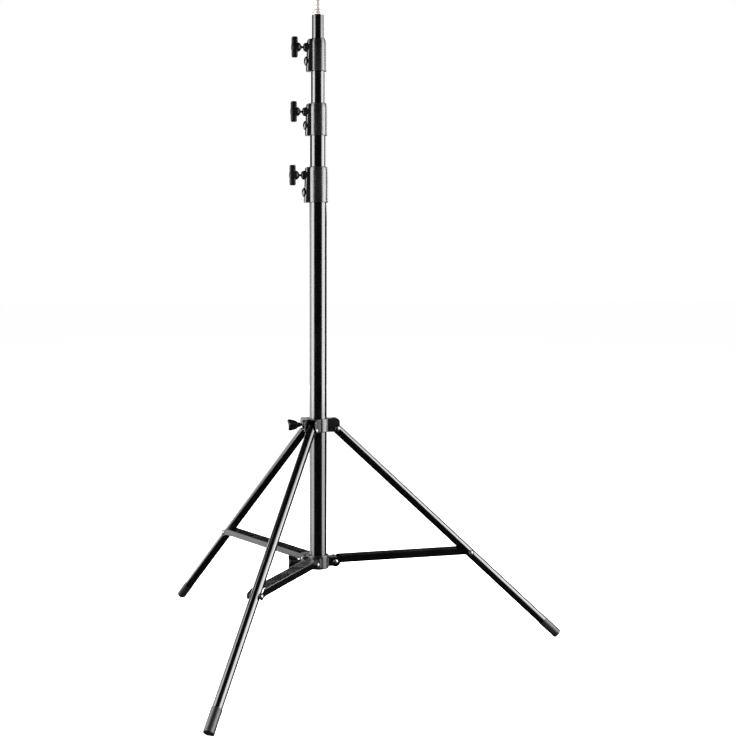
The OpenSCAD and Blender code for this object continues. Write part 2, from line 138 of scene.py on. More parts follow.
def sized(sizes, start):
    """A profile of (r, z) in metres, from sizes in mm whose z counts from start."""
    return np.array(sizes) * MM + (0, start)


def turned(profile, segments=96, ring=False):
    """A turned shape about Z: (r cos a, r sin a, z) for each (r, z) of the profile."""
    angle = np.arange(segments) * TAU / segments
    r, z = np.asarray(profile, float).T
    grid = np.stack([
        r[:, None] * np.cos(angle), r[:, None] * np.sin(angle), np.repeat(z[:, None], segments, 1)
    ], axis=-1)
    return skin(grid, ring)


def pipe(r_out, r_in, low, high, lip, segments=128):
    """A tube about Z with both rims rounded by lip."""
    corners = [(r_in, low), (r_out, low), (r_out, high), (r_in, high)]
    return turned(fillet(corners, lip, closed=True, steps=5), segments, ring=True)


def plate(outline, thickness, edge):
    """A flat plate in XY, its outline shrunk towards its middle where the edge rounds over.

    Row by row the outline is scaled about its middle by 1 - inset / size, and lifted from
    -thickness / 2 to thickness / 2; inset follows a quarter circle of radius edge. Two more rows
    on each face, further in, keep it flat in its shading.
    """
    outline = np.asarray(outline, float)
    middle = (outline.min(axis=0) + outline.max(axis=0)) / 2
    arm = outline - middle
    size = np.linalg.norm(arm, axis=1)
    turn = np.linspace(0, math.pi / 2, 6)
    bend = edge * (1 - np.sin(turn))
    rise = edge * (1 - np.cos(turn))
    half = thickness / 2
    face = [4 * edge, 1.4 * edge]
    inset = np.concatenate([face, bend, bend[::-1], face[::-1]])
    height = np.concatenate([[-half] * 2, rise - half, half - rise[::-1], [half] * 2])
    share = 1 - np.minimum(inset[:, None] / size[None, :], 0.9)
    flat = middle + arm[None] * share[..., None]
    lift = np.broadcast_to(height[:, None, None], flat.shape[:2] + (1,))
    return skin(np.concatenate([flat, lift], axis=-1))


def placed(shape, origin, z_axis, y_axis):
    """A shape moved so that its own Z and Y run along those axes, from that origin."""
    points, quads, triangles = shape
    z = np.asarray(z_axis, float)
    y = np.asarray(y_axis, float)
    z, y = z / np.linalg.norm(z), y / np.linalg.norm(y)
    turn = np.stack([np.cross(y, z), y, z])
    return points @ turn + np.asarray(origin, float), quads, triangles


def at_knob(shape, knob_z):
    """A shape made along Z, moved so that it runs out from the column on the knobs' side."""
    return placed(shape, (0, 0, knob_z), KNOB_OUT, ACROSS)


def joined(shapes):
    """Several closed shapes as one."""
    offsets = np.cumsum([0] + [len(shape[0]) for shape in shapes[:-1]])
    points = np.vstack([shape[0] for shape in shapes])
    quads = np.vstack([shape[1] + offset for shape, offset in zip(shapes, offsets)])
    triangles = np.vstack([shape[2] + offset for shape, offset in zip(shapes, offsets)])
    return points, quads, triangles


def piece(name, shapes, finish, body, stands_for):
    """Puts the shapes into one mesh that rides on a body and stands for the CAD nodes named."""
    points, quads, triangles = joined(shapes)
    mesh = bpy.data.meshes.new(name)
    mesh.from_pydata(points.tolist(), [], quads.tolist() + triangles.tolist())
    mesh.shade_smooth()
    mesh.set_sharp_from_angle(angle=CREASE)
    mesh.materials.append(finish)
    made = bpy.data.objects.new(name, mesh)
    bpy.context.scene.collection.objects.link(made)
    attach(made, body)
    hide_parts(*stands_for)


# ------------------------------------------------------------------ materials


# Every finish varies slowly in patches of this size.
PATCH = 40 * MM
# The fine pattern times the slow one lies between these, from its low parts to its high parts.
PATTERN_SPAN = {"From Min": 0.12, "From Max": 0.42}


def linear(code):
    """An sRGB hex colour as linear red, green, blue and alpha."""
    value = np.array([int(code[k:k + 2], 16) for k in (1, 3, 5)]) / 255
    value = np.where(value <= 0.04045, value / 12.92, ((value + 0.055) / 1.055) ** 2.4)
    return (*value.tolist(), 1.0)


def add(tree, kind, settings=None, links=None):
    """One node. settings are its sockets' values or its properties, links feed its sockets."""
    made = tree.nodes.new(kind)
    for key, value in (settings or {}).items():
        if isinstance(key, int) or key in made.inputs:
            made.inputs[key].default_value = value
        else:
            setattr(made, key, value)
    for key, source in (links or {}).items():
        tree.links.new(source, made.inputs[key])
    return made


def blank(name):
    """A material with an empty node tree."""
    material = bpy.data.materials.new(name)
    material.use_nodes = True
    tree = material.node_tree
    tree.nodes.clear()
    return material, tree


def finished(tree, settings, colour, roughness, height, distance, strength):
    """The surface shader with the pattern's colour, roughness and relief on it."""
    relief = add(tree, "ShaderNodeBump", {"Strength": strength, "Distance": distance},
                 {"Height": height})
    surface = add(tree, "ShaderNodeBsdfPrincipled", settings,
                  {"Base Color": colour, "Roughness": roughness, "Normal": relief.outputs[0]})
    add(tree, "ShaderNodeOutputMaterial", {}, {"Surface": surface.outputs[0]})


def patterned(name, dark, light, rough, size, relief, metallic=0.0, ior=1.5, stretch=(1, 1, 1),
              turn=(0, 0, 0), detail=3.0, strength=1.0, cell=False, extra=None):
    """A finish with one fine pattern in colour, roughness and relief, over a slow variation.

    size is the pattern's real spacing and relief its height, both in metres. stretch and turn
    shape and turn the pattern on the piece. rough is the roughness in the pattern's low and
    high parts. cell uses round grains in place of soft noise.
    """
    material, tree = blank(name)
    place = add(tree, "ShaderNodeTexCoord").outputs["Object"]
    mapped = add(tree, "ShaderNodeMapping", {"Rotation": turn}, {"Vector": place}).outputs[0]
    mapped = add(tree, "ShaderNodeMapping", {"Scale": stretch}, {"Vector": mapped}).outputs[0]
    if cell:
        fine = add(tree, "ShaderNodeTexVoronoi", {"Scale": 1 / size, "feature": "SMOOTH_F1"},
                   {"Vector": mapped}).outputs["Distance"]
    else:
        fine = add(tree, "ShaderNodeTexNoise", {"Scale": 1 / size, "Detail": detail},
                   {"Vector": mapped}).outputs["Fac"]
    slow = add(tree, "ShaderNodeTexNoise", {"Scale": 1 / PATCH, "Detail": 2.0},
               {"Vector": place}).outputs["Fac"]
    both = add(tree, "ShaderNodeMath", {"operation": "MULTIPLY"}, {0: fine, 1: slow}).outputs[0]
    share = add(tree, "ShaderNodeMapRange", PATTERN_SPAN, {"Value": both}).outputs[0]
    colour = add(tree, "ShaderNodeMix", {"data_type": "RGBA", 6: linear(dark), 7: linear(light)},
                 {0: share}).outputs[2]
    roughness = add(tree, "ShaderNodeMapRange", {"To Min": rough[0], "To Max": rough[1]},
                    {"Value": share}).outputs[0]
    settings = {"Metallic": metallic, "IOR": ior, **(extra or {})}
    finished(tree, settings, colour, roughness, fine, relief, strength)
    return material


def drawn_tube(name, turn=(0, 0, 0)):
    """Gloss black lacquer on drawn aluminium tube.

    The eye gets a deep black with long clean highlights whose edges are drawn out by faint
    lines along the tube. The real lines are about 0.1 mm apart; they are drawn 0.8 mm apart,
    so that they show.
    """
    return patterned(name, "#010101", "#040405", (0.12, 0.2), 0.8 * MM, 0.002 * MM,
                     stretch=(1, 1, 0.012), turn=turn, strength=0.2)


def enamelled_casting():
    """Black stoved enamel on die-cast aluminium: orange peel 1.5 mm across under the gloss."""
    return patterned("black_enamelled_casting", "#040405", "#0d0d0e", (0.2, 0.34), 1.5 * MM,
                     0.02 * MM, detail=2.5, strength=0.5)


def painted_pressing():
    """Gloss black paint on pressed sheet steel: sharp lights along the bends, slight peel."""
    return patterned("black_painted_steel_pressing", "#010101", "#050506", (0.08, 0.17),
                     1.1 * MM, 0.002 * MM, detail=2.0, strength=0.1)


def moulded_nylon():
    """Black glass-filled nylon from a spark-eroded mould: a dull sheen broken by fine grain.

    The grain is about 0.2 mm in life, and 0.6 mm here so that it shows.
    """
    return patterned("black_moulded_nylon", "#010101", "#070707", (0.34, 0.48), 0.6 * MM,
                     0.03 * MM, cell=True, strength=0.6, ior=1.53,
                     extra={"Specular IOR Level": 0.12})


def moulded_rubber():
    """Black moulded rubber: nearly matt, with a faint grey bloom in patches."""
    return patterned("black_moulded_rubber", "#050505", "#111110", (0.34, 0.5), 0.9 * MM,
                     0.03 * MM, detail=4.0, strength=0.5, ior=1.52,
                     extra={"Specular IOR Level": 0.3})


def moulded_plug():
    """Black moulded polypropylene for the plugs and spacers: soft sheen, almost no grain."""
    return patterned("black_polypropylene", "#0d0d0d", "#181818", (0.34, 0.46), 1.0 * MM,
                     0.01 * MM, strength=0.4, ior=1.49)


def natural_acetal():
    """Natural acetal of the riser guides: milky off-white with a waxy sheen."""
    return patterned("natural_acetal", "#dedacc", "#efece1", (0.28, 0.4), 1.2 * MM, 0.008 * MM,
                     strength=0.4, ior=1.48)


def nickel_plate():
    """Satin nickel on turned steel: soft warm grey with fine tool rings one above another."""
    return patterned("satin_nickel_plate", "#83817d", "#9b9994", (0.46, 0.58), 0.9 * MM,
                     0.003 * MM, metallic=0.5, stretch=(0.05, 0.05, 1), strength=0.4)


def rivet_steel():
    """Plain steel rivets, barrelled: small grey heads with a soft bright spot, slightly pitted."""
    return patterned("barrelled_steel_rivet", "#5a5b5c", "#7c7d7d", (0.32, 0.46), 0.8 * MM,
                     0.006 * MM, metallic=1.0, strength=0.5)


def zinc_plate():
    """Black-passivated zinc on rolled screw thread: dark bluish grey, a little cloudy."""
    return patterned("black_zinc_plated_screw", "#35373a", "#505357", (0.26, 0.42), 0.7 * MM,
                     0.006 * MM, metallic=1.0, strength=0.5)


def turned_brass():
    """Turned brass of the clamp shoes: yellow metal with fine tool marks."""
    return patterned("turned_brass", "#a9803a", "#cfa860", (0.2, 0.34), 0.6 * MM, 0.006 * MM,
                     metallic=1.0, stretch=(1, 0.2, 0.2), strength=0.5)


def spring_wire():
    """Oil-tempered spring wire: dark steel, drawn smooth, with a brownish cast in patches."""
    return patterned("oil_tempered_spring_wire", "#56524d", "#8b8a88", (0.25, 0.4), 1.0 * MM,
                     0.006 * MM, metallic=1.0, strength=0.5)


COLUMN_FINISH = drawn_tube("black_lacquered_drawn_tube")
CASTING = enamelled_casting()
PRESSING = painted_pressing()
NYLON = moulded_nylon()
RUBBER = moulded_rubber()
PLUG = moulded_plug()
ACETAL = natural_acetal()
NICKEL = nickel_plate()
RIVET = rivet_steel()
ZINC = zinc_plate()
BRASS = turned_brass()
SPRING = spring_wire()

# The CAD nodes' finishes, by a word in the name. The last word that fits holds.
NODE_FINISHES = [("brace_", PRESSING), ("rivet", RIVET), ("spacers", PLUG), ("shoe", BRASS),
                 ("spring", SPRING), ("riser_foot", ACETAL), ("spigot", NICKEL), ("screw", ZINC)]

for node_name, obj in frame["nodes"].items():
    finish = PLUG
    for word, choice in NODE_FINISHES:
        if word in node_name:
            finish = choice
    obj.data.materials.clear()
    obj.data.materials.append(finish)


# ------------------------------------------------------------------ column and risers

TUBES = ["main_tube", "riser_tube_1", "riser_tube_2", "riser_tube_3"]
BODIES = ["column", "riser_1", "riser_2", "riser_3"]
WALLS = [1.2 * MM, 1.6 * MM, 1.6 * MM, 1.6 * MM]
TUBE_LIP = 0.35 * MM
tube_r = [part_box(tube)[1].x for tube in TUBES]

for tube, body, wall, r in zip(TUBES, BODIES, WALLS, tube_r):
    low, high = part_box(tube)
    piece(f"drawn_{tube}", [pipe(r, r - wall, low.z, high.z, TUBE_LIP)], COLUMN_FINISH, body,
          [tube])


# ------------------------------------------------------------------ lock collars

COLLAR_RIM = 1.2 * MM
SHOULDER_HEIGHT = 11 * MM
NECK_WALL = 2.2 * MM
BLOCK_HALF_WIDTH = 10.5 * MM
BLOCK_BEHIND_BOSS = 0.2 * MM
BLOCK_LEAN = 2.8 * MM
BLOCK_ROUNDING = 2.4 * MM
# The power of its superellipse: a higher one has tighter corners.
BLOCK_CORNERS = 4.2
# The tube that the collar is fastened to ends this far below the knob.
LOWER_BORE_END = 9.5 * MM
TIGHT_FIT = 0.02 * MM
SLIDING_FIT = 0.3 * MM
BOSS_LENGTH = 8 * MM
# Sizes in mm: (r, z) with z counted from BOSS_LENGTH before its face, and the corners' roundings.
COLLAR_BOSS = [(2.75, -4), (10.6, -4), (9.4, -0.6), (8.9, 3), (7.6, 7), (5.6, 8), (2.75, 8)]
COLLAR_BOSS_ROUNDING = [0.1, 1.6, 1.6, 1.6, 1.6, 1.6, 0.4]
BOLT_R = 9.3 * MM
BOLT_RISE = 5.6 * MM
BOLT_EDGE = 0.8 * MM
BOLT_START = 1.4 * MM
# Sizes in mm: (r, z) with z counted from the knob's inner end.
T_HUB = [(2.7, 0), (4.6, 0.5), (7.6, 3), (9.3, 7), (9.4, 18), (6, 19.8), (0.6, 20.1)]
T_BAR_HALF_LENGTH = 20 * MM
T_BAR_HALF_WIDTH = 7 * MM
T_BAR_HALF_DEPTH = 6.2 * MM
T_BAR_AXIS = 13.4 * MM
T_BAR_CORNERS = 3.4
FLUTE_PITCH = 5.6 * MM
T_THREAD_PITCH = 0.8 * MM


def ease(z, start, length):
    """Share from 0 to 1 of the way from start over length."""
    return np.clip((z - start) / length, 0, 1)


def lobe(angle, towards, reach, half_width, power=7.0):
    """Radius of a block that runs from the axis in one direction, in plan.

    It is a superellipse (|cos a| / reach) ** power + (|sin a| / half_width) ** power = r ** -power,
    so its sides are straight and its corners round. On the far side it is only half_width.
    """
    along = np.maximum(np.cos(angle - towards), 0)
    aside = np.abs(np.sin(angle - towards))
    radius = (along / reach) ** power + (np.maximum(aside, 0.1) / half_width) ** power
    return np.where(along > 0, radius ** (-1 / power), half_width)


def blended(radii, power=22.0):
    """The largest of the radii, with a fillet where two are close: (sum r ** p) ** (1 / p)."""
    return sum(radius**power for radius in radii) ** (1 / power)


def cast_sleeve(outer, heights, bore, segments=288):
    """A casting round the column: outer(angle, z) outside, and bore(z) as its smooth inside."""
    angle = (np.arange(segments) * TAU / segments)[None, :]
    z = np.asarray(heights, float)[:, None]
    outside = outer(angle, z) * np.ones_like(angle + z)
    inside = np.repeat(bore(z[::-1]), segments, axis=1)
    radius = np.vstack([outside, inside])
    height = np.repeat(np.vstack([z, z[::-1]]), segments, axis=1)
    grid = np.stack([radius * np.cos(angle), radius * np.sin(angle), height], axis=-1)
    return skin(grid, ring=True)


def rim_inset(z, low, high, edge):
    """How far a rim is drawn in: edge * (1 - sqrt(1 - t * t)), t running out at each end."""
    near = np.clip(1 - np.minimum(z - low, high - z) / edge, 0, 1)
    return edge * (1 - np.sqrt(1 - near**2))


def levels(low, high, edge, count, breaks=()):
    """Heights from low to high, close together at both ends and on each side of every break."""
    end = edge * (1 - np.cos(np.linspace(0, math.pi / 2, 7)))
    both = [low + end, high - end, np.linspace(low + edge, high - edge, count)]
    both += [np.array([step - 0.01 * MM, step + 0.01 * MM]) for step in breaks]
    return np.unique(np.concatenate(both).round(7))


def lock_collar(low, high, body_r, neck_r, block_reach, lower_tube_r, upper_tube_r, knob_z):
    """A turned sleeve with a rounded shoulder, and a block on the knob's side.

    Sleeve: r = neck + (body - neck) * sqrt(1 - t ** 2.2), t running over the shoulder.
    Block: reach leans out towards the bottom and rounds over by a quarter circle at its top,
    and the sides draw in by half as much.
    """
    block_top = high - COLLAR_RIM
    step = knob_z - LOWER_BORE_END

    def outer(angle, z):
        t = ease(z, high - SHOULDER_HEIGHT, SHOULDER_HEIGHT)
        sleeve = neck_r + (body_r - neck_r) * np.sqrt(np.maximum(1 - t**2.2, 0))
        over = ease(z, block_top - BLOCK_ROUNDING, BLOCK_ROUNDING)
        drawn_in = BLOCK_ROUNDING * (1 - np.sqrt(1 - over**2))
        lean = BLOCK_LEAN * ease(-z, -block_top, block_top - low)
        reach = block_reach - BLOCK_BEHIND_BOSS + lean - drawn_in
        block = lobe(angle, math.pi, reach, BLOCK_HALF_WIDTH - drawn_in / 2, BLOCK_CORNERS)
        block = np.where(z < block_top, block, 0.5 * neck_r)
        return blended([sleeve + 0 * angle, block]) - rim_inset(z, low, high, COLLAR_RIM)

    def bore(z):
        return np.where(z < step, lower_tube_r + TIGHT_FIT, upper_tube_r + SLIDING_FIT)

    return cast_sleeve(outer, levels(low, high, COLLAR_RIM, 44, [block_top, step]), bore)


def dome(r, rise, start):
    """The profile of a shallow dome on a thin straight edge: a quarter of an ellipse over it."""
    turn = np.linspace(0, math.pi / 2, 14)
    edge = start + BOLT_EDGE
    return [(r, start), (r, edge)] + [
        (r * math.cos(a), edge + (rise - BOLT_EDGE) * math.sin(a)) for a in turn[1:-1]
    ]


def thread(r, pitch, start, end, depth=0.07):
    """A rolled thread: r * (1 - depth * (1 + cos(2 pi z / pitch - a))) at angle a, along Z."""
    segments = 40
    rows = np.arange(start, end, pitch / 8)
    angle = np.arange(segments) * TAU / segments
    radius = r * (1 - depth * (1 + np.cos(TAU * rows[:, None] / pitch - angle[None, :])))
    height = np.repeat(rows[:, None], segments, axis=1)
    return skin(np.stack([radius * np.cos(angle), radius * np.sin(angle), height], axis=-1))


def t_knob(start):
    """A T-knob along Z from start: a bell-shaped hub, and a bar across it along X.

    Bar: a superellipse section |x| ** 3.4 + |y| ** 3.4 = 1 stretched to its half width and half
    depth, scaled along its length s from -1 to 1 by (1 - |s| ** 9) ** (1 / 9), slightly waisted
    by 0.97 + 0.03 s ** 2, with shallow grip flutes.
    """
    hub = fillet(sized(T_HUB, start), 1.8 * MM)
    segments = 72
    s = np.sin(np.linspace(-math.pi / 2, math.pi / 2, 61))[1:-1]
    a = np.arange(segments) * TAU / segments
    flutes = 1 + 0.016 * np.cos(s * T_BAR_HALF_LENGTH * TAU / FLUTE_PITCH)
    scale = (1 - np.abs(s) ** 9) ** (1 / 9) * flutes * (0.97 + 0.03 * s**2)
    power = 2 / T_BAR_CORNERS
    deep = np.sign(np.cos(a)) * np.abs(np.cos(a)) ** power
    wide = np.sign(np.sin(a)) * np.abs(np.sin(a)) ** power
    bar = np.stack([
        np.repeat(s[:, None] * T_BAR_HALF_LENGTH, segments, axis=1),
        T_BAR_HALF_WIDTH * scale[:, None] * wide[None, :],
        start + T_BAR_AXIS + T_BAR_HALF_DEPTH * scale[:, None] * deep[None, :],
    ], axis=-1)
    return [turned(hub, 64), skin(bar)]


for i in (1, 2, 3):
    low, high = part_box(f"lock_collar_{i}")
    knob_z = JOINTS[f"knob_turn_{i}"]["pos_m"][2]
    bolt_low, bolt_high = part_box(f"collar_bolt_{i}")
    bolt_z = (bolt_low.z + bolt_high.z) / 2
    reach = -low.x - BOSS_LENGTH
    sleeve = lock_collar(low.z, high.z, high.x, tube_r[i] + NECK_WALL, reach, tube_r[i - 1],
                         tube_r[i], knob_z)
    boss = fillet(sized(COLLAR_BOSS, reach), np.array(COLLAR_BOSS_ROUNDING) * MM, closed=True)
    boss = at_knob(turned(boss, 80, ring=True), knob_z)
    piece(f"cast_lock_collar_{i}", [sleeve, boss], CASTING, BODIES[i - 1], [f"lock_collar_{i}"])
    head = at_knob(turned(dome(BOLT_R, BOLT_RISE, reach + BOLT_START), 72), bolt_z)
    piece(f"domed_collar_bolt_{i}", [head], CASTING, BODIES[i - 1], [f"collar_bolt_{i}"])
    knob = [at_knob(shape, knob_z) for shape in t_knob(-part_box(f"t_knob_{i}")[1].x)]
    piece(f"nylon_t_knob_{i}", knob, NYLON, f"knob_{i}", [f"t_knob_{i}"])
    low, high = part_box(f"t_screw_{i}")
    screw = at_knob(thread((high.z - low.z) / 2, T_THREAD_PITCH, -high.x, -low.x), knob_z)
    piece(f"zinc_t_screw_{i}", [screw], ZINC, f"knob_{i}", [f"t_screw_{i}"])


# ------------------------------------------------------------------ wing knobs

# Sizes in mm: (r, z) of the hub with its neck, and (across, z) of one half of the wing's outline.
WING_HUB = [(3.4, -4.4), (4.3, -4), (5, 0.4), (6, 8), (6.9, 17), (5, 18.6), (0.6, 18.8)]
WING_HALF = np.array([(6.4, 0.4), (10.2, 5), (13.4, 13.5), (14, 18.5), (12.4, 20.9), (8, 20.4),
                      (4, 19.8)])
WING_THICKNESS = 6.4 * MM
WING_EDGE = 2.2 * MM
WING_THREAD_PITCH = 1.0 * MM


def wing_knob(start, turn):
    """A wing knob along Z: a neck before start, a tapered hub and a wing plate turned by turn."""
    hub = turned(fillet(sized(WING_HUB, start), 1.4 * MM), 56)
    corners = np.vstack([WING_HALF, WING_HALF[::-1] * (-1, 1)]) * MM
    wing = plate(fillet(corners, 3 * MM, closed=True), WING_THICKNESS, WING_EDGE)
    wing = placed(wing, (0, 0, start), ACROSS, UP)
    y_axis = (-math.sin(turn), math.cos(turn), 0)
    return [placed(shape, (0, 0, 0), UP, y_axis) for shape in (hub, wing)]


for name, turn in (("yoke", math.radians(50)), ("lower", 0.0)):
    knob_z = JOINTS[f"{name}_knob_turn"]["pos_m"][2]
    start = -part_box(f"{name}_wing_knob")[1].x
    knob = [at_knob(shape, knob_z) for shape in wing_knob(start, turn)]
    piece(f"nylon_{name}_wing_knob", knob, NYLON, f"{name}_knob", [f"{name}_wing_knob"])
    low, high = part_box(f"{name}_wing_screw")
    screw = at_knob(thread((high.z - low.z) / 2, WING_THREAD_PITCH, -high.x, -low.x), knob_z)
    piece(f"zinc_{name}_wing_screw", [screw], ZINC, f"{name}_knob", [f"{name}_wing_screw"])


# ------------------------------------------------------------------ yoke and lower collar

LEG_ANGLES = [0.0, TAU / 3, 2 * TAU / 3]
RING_R = 22 * MM
RING_RIM = 1.6 * MM
CHEEK_START = 15.4 * MM
CHEEK_THICKNESS = 2.9 * MM
FORK_HALF_GAP = 9.8 * MM
BRIDGE_START = 18.1 * MM
BRIDGE_END = 29 * MM
BRIDGE_HALF_WIDTH = 12.4 * MM
BRIDGE_THICKNESS = 3 * MM
LUG_R = 9 * MM
LUG_HALF_WIDTH = 12.2 * MM
RIVET_HEAD_R = 5 * MM

rivet_low, rivet_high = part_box("yoke_rivets")
pivot_r = rivet_high.x - RIVET_HEAD_R
pivot_z = (rivet_low.z + rivet_high.z) / 2


def outwards(angle):
    """Unit vectors out from the axis and across it, for a leg at that angle."""
    return (np.array([math.cos(angle), math.sin(angle), 0.0]),
            np.array([-math.sin(angle), math.cos(angle), 0.0]))


def wing_boss(knob_z, reach):
    """A round boss on the knob's side, with a foot that spreads where it leaves the ring.

    Its profile starts from two fixed points at the ring and ends with three counted from reach.
    """
    foot = sized([(10.6, 17.9), (9.7, 21.5)], 0)
    end = sized([(9.3, -3), (8.4, -0.3), (3.1, 0)], reach)
    return at_knob(turned(fillet(np.vstack([foot, end]), 1.4 * MM), 72), knob_z)


low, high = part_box("leg_yoke")
ring = pipe(RING_R, tube_r[0] + SLIDING_FIT, low.z, high.z, RING_RIM, 144)
yoke = [ring, wing_boss(JOINTS["yoke_knob_turn"]["pos_m"][2], -low.x)]
cheek = fillet([(CHEEK_START, low.z), (high.x, low.z), (high.x, high.z), (CHEEK_START, high.z)],
               [1 * MM, 6 * MM, 7 * MM, 1 * MM], closed=True, steps=8)
cheek = plate(cheek, CHEEK_THICKNESS, 1.1 * MM)
cheek_offset = FORK_HALF_GAP + CHEEK_THICKNESS / 2
# A short bridge closes the top of the fork behind the leg.
bridge = fillet([(BRIDGE_START, -BRIDGE_HALF_WIDTH), (BRIDGE_END, -BRIDGE_HALF_WIDTH),
                 (BRIDGE_END, BRIDGE_HALF_WIDTH), (BRIDGE_START, BRIDGE_HALF_WIDTH)],
                [0.2 * MM, 1 * MM, 1 * MM, 0.2 * MM], closed=True)
bridge = plate(bridge, BRIDGE_THICKNESS, 0.8 * MM)
bridge_middle = (0, 0, high.z - BRIDGE_THICKNESS / 2)
for angle in LEG_ANGLES:
    out, across = outwards(angle)
    for side in (-1, 1):
        yoke.append(placed(cheek, across * side * cheek_offset, np.cross(out, UP), UP))
    yoke.append(placed(bridge, bridge_middle, UP, across))
piece("cast_leg_yoke", yoke, CASTING, "leg_collar", ["leg_yoke"])

low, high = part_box("lower_collar")
brace_pivot = JOINTS["brace_hinge_1"]["pos_m"]
lower_knob_z = JOINTS["lower_knob_turn"]["pos_m"][2]


def lower_outer(angle, z):
    """Ring and three lugs: a lug's end is round about the pivot, with LUG_R as its radius.

    It reaches the pivot plus sqrt(LUG_R ** 2 - h ** 2) at a height h above or below the pivot.
    """
    up = (z - brace_pivot[2]) / LUG_R
    reach = brace_pivot[0] + LUG_R * np.sqrt(np.maximum(1 - up**2, 0))
    none = 15 * MM
    lugs = [np.where(np.abs(up) < 1, lobe(angle, towards, reach, LUG_HALF_WIDTH), none)
            for towards in LEG_ANGLES]
    return blended([RING_R + 0 * angle * z] + lugs) - rim_inset(z, low.z, high.z, RING_RIM)


def lower_bore(z):
    """The main tube's radius with a tight fit, at every height."""
    return np.full_like(z, tube_r[0] + TIGHT_FIT)


lower_rows = levels(low.z, high.z, RING_RIM, 40, [brace_pivot[2] - LUG_R, brace_pivot[2] + LUG_R])
lower = [cast_sleeve(lower_outer, lower_rows, lower_bore), wing_boss(lower_knob_z, -low.x)]
piece("cast_lower_collar", lower, CASTING, "column", ["lower_collar"])


# ------------------------------------------------------------------ legs

LEG_WALL = 1.2 * MM
LEG_LIP = 0.3 * MM
CAP_FLOOR = 4.4 * MM

brace_pin = JOINTS["leg_hinge_1"]["pos_m"]
leg_down = np.array([brace_pin[0] - pivot_r, 0.0, brace_pin[2] - pivot_z])
leg_down /= np.linalg.norm(leg_down)
leg_tilt = math.atan2(leg_down[0], -leg_down[2])
tube_low, tube_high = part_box("leg_tube_1")
cap_low, cap_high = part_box("foot_cap_1")
leg_r = tube_high.y
cap_r = cap_high.y
# Places along the leg from its pivot, worked out from the tilted tubes' heights.
leg_end = (pivot_z - leg_r * math.sin(leg_tilt) - tube_low.z) / math.cos(leg_tilt)
leg_start = (pivot_z + leg_r * math.sin(leg_tilt) - tube_high.z) / math.cos(leg_tilt)
cap_start = (pivot_z + cap_r * math.sin(leg_tilt) - cap_high.z) / math.cos(leg_tilt)
cap_end = leg_end + CAP_FLOOR

for i, angle in enumerate(LEG_ANGLES, 1):
    out, across = outwards(angle)
    down = out * leg_down[0] + np.array([0, 0, leg_down[2]])
    origin = out * pivot_r + np.array([0, 0, pivot_z])
    upright = Matrix(np.stack([np.cross(across, down), across, down]).tolist())
    leg_finish = drawn_tube(f"black_lacquered_leg_tube_{i}", tuple(upright.to_euler("XYZ")))
    tube = pipe(leg_r, leg_r - LEG_WALL, leg_start, leg_end, LEG_LIP, 96)
    piece(f"drawn_leg_tube_{i}", [placed(tube, origin, down, across)], leg_finish, f"leg_{i}",
          [f"leg_tube_{i}"])
    profile = fillet([(leg_r + TIGHT_FIT, cap_start + 0.3 * MM), (cap_r - 0.1 * MM, cap_start),
                      (cap_r, cap_start + 1.2 * MM), (cap_r, cap_end - 0.1 * MM),
                      (cap_r - 0.9 * MM, cap_end), (0.5 * MM, cap_end)],
                     [0, 0.3 * MM, 0.4 * MM, 0.5 * MM, 0.5 * MM, 0])
    points, quads, triangles = placed(turned(profile), origin, down, across)
    # The lower edge is pressed flat where it carries the stand.
    points[:, 2] = np.maximum(points[:, 2], 0)
    piece(f"rubber_foot_cap_{i}", [(points, quads, triangles)], RUBBER, f"leg_{i}",
          [f"foot_cap_{i}"])


# ------------------------------------------------------------------ spigot

# A turned end stops at this radius, and skin closes it to its middle point.
CORE_R = 0.6 * MM
PLUG_R = 10.3 * MM
COLLAR_R = 11.5 * MM
STUD_R = 8 * MM
WAIST_R = 6.5 * MM

low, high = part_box("spigot_plug")
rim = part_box("riser_tube_3")[1].z
plug = fillet([(CORE_R, low.z), (PLUG_R, low.z), (PLUG_R, rim), (COLLAR_R, rim),
               (COLLAR_R, high.z - 1.2 * MM), (COLLAR_R - 1.1 * MM, high.z), (CORE_R, high.z)],
              [0, 0.3 * MM, 0.05 * MM, 0.2 * MM, 0.5 * MM, 0.5 * MM, 0])
piece("nickel_spigot_plug", [turned(plug, 128)], NICKEL, "riser_3", ["spigot_plug"])
base, top = high.z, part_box("spigot")[1].z
stud = fillet([(CORE_R, base + TIGHT_FIT), (STUD_R, base + TIGHT_FIT), (STUD_R, base + 4 * MM),
               (WAIST_R, base + 6 * MM), (WAIST_R, base + 10 * MM), (STUD_R, base + 12 * MM),
               (STUD_R, top - 1.5 * MM), (STUD_R - 1.6 * MM, top), (CORE_R, top)],
              [0, 0.4 * MM, 0.6 * MM, 0.9 * MM, 0.9 * MM, 0.6 * MM, 0.7 * MM, 0.6 * MM, 0])
piece("nickel_spigot", [turned(stud, 128)], NICKEL, "riser_3", ["spigot"])


# ------------------------------------------------------------------ floor, light and camera

FLOOR_HALF = 30
# The floor's own light, which brings it up to the white around it.
FLOOR_GLOW = 0.97
# The world is white to the camera, and nearly black to the stand's reflections.
WORLD_SEEN = 1.0
WORLD_REFLECTED = 0.02
# The direction of the camera from the column.
CAMERA_TOWARDS = math.atan2(-0.9870, -0.1609)
CAMERA_PLACE = (-0.3924, -2.4068, 0.7663)
CAMERA_LENS_MM = 59.14
SENSOR_WIDTH_MM = 36
CAMERA_SHIFT_X = 0.0678
CAMERA_DOWN = 0.0768
CAMERA_RIGHT = math.radians(9.26)
